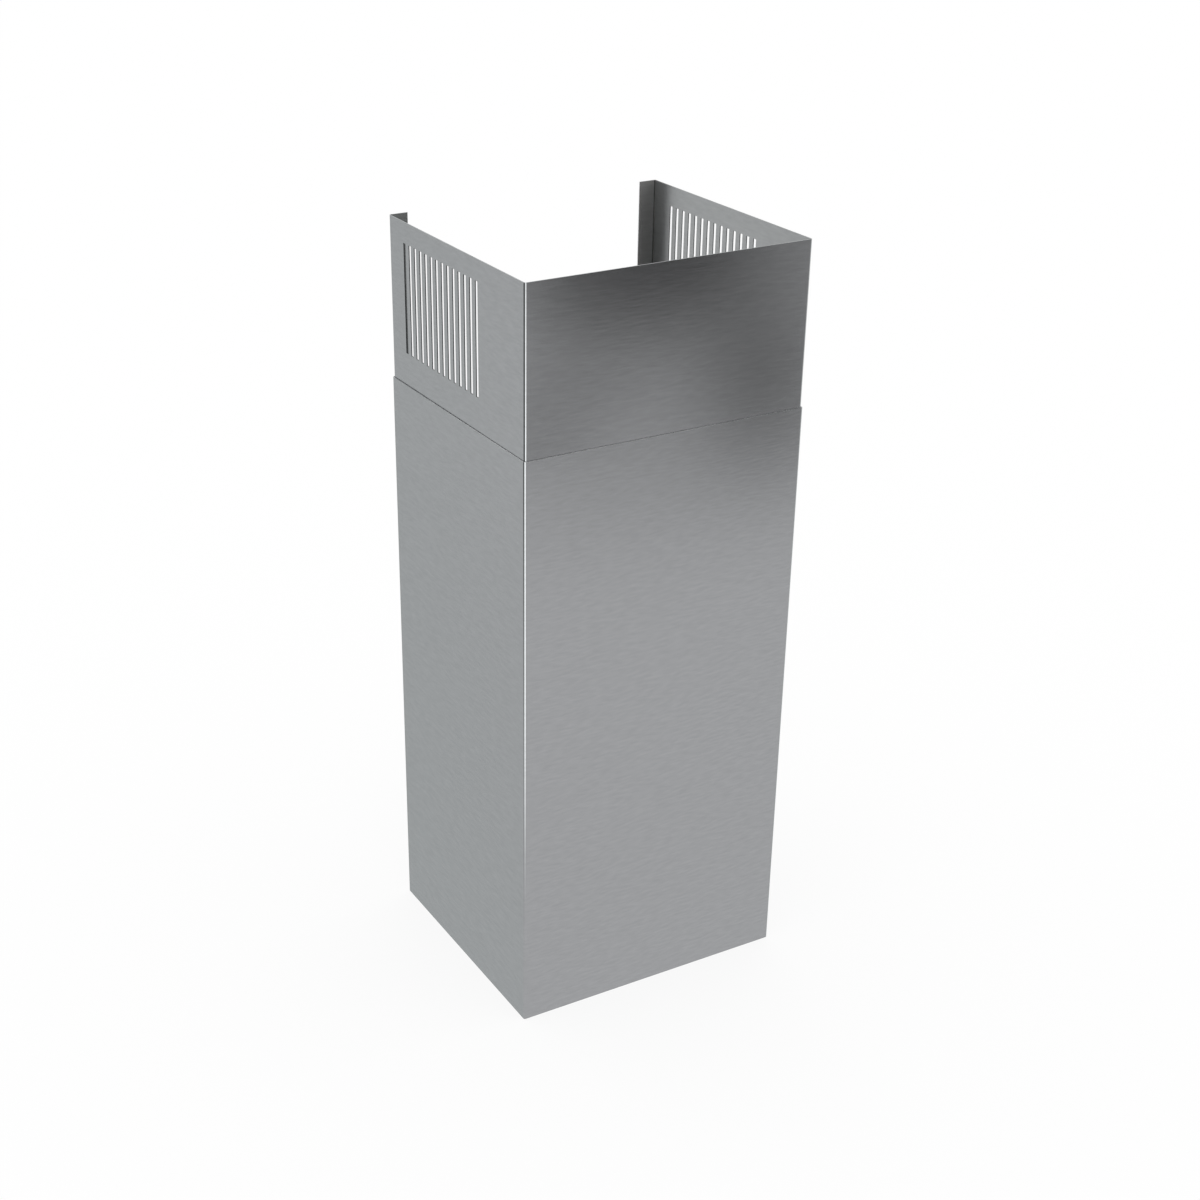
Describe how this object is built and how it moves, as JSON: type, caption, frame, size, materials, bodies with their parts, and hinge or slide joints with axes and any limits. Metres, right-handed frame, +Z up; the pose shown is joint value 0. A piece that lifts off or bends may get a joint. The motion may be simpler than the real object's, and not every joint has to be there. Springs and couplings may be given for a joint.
{
  "type": "cooker hood chimney section",
  "caption": "Telescopic sheet-steel chimney cover for a cooker hood: an open-backed lower sleeve and a sliding upper sleeve with side vent slots.",
  "frame": {"origin": "middle of the lower cover's outline, at its bottom edge, where it stands on the hood", "axes": "+Z up along the chimney, +X across its width, -Y is the front face and +Y the open back against the wall"},
  "size_m": [0.268, 0.24, 0.682],
  "materials": {
    "brushed_stainless": "fine brushed grain running across the front and sides, satin"
  },
  "bodies": {
    "lower_section": {"lower_cover": "brushed_stainless"},
    "upper_section": {"upper_cover": "brushed_stainless"}
  },
  "joints": [
    {"name": "height_slide", "type": "slide", "parent": "lower_section", "child": "upper_section", "axis": [0, 0, 1], "range_m": [-0.143, 0.337]}
  ]
}
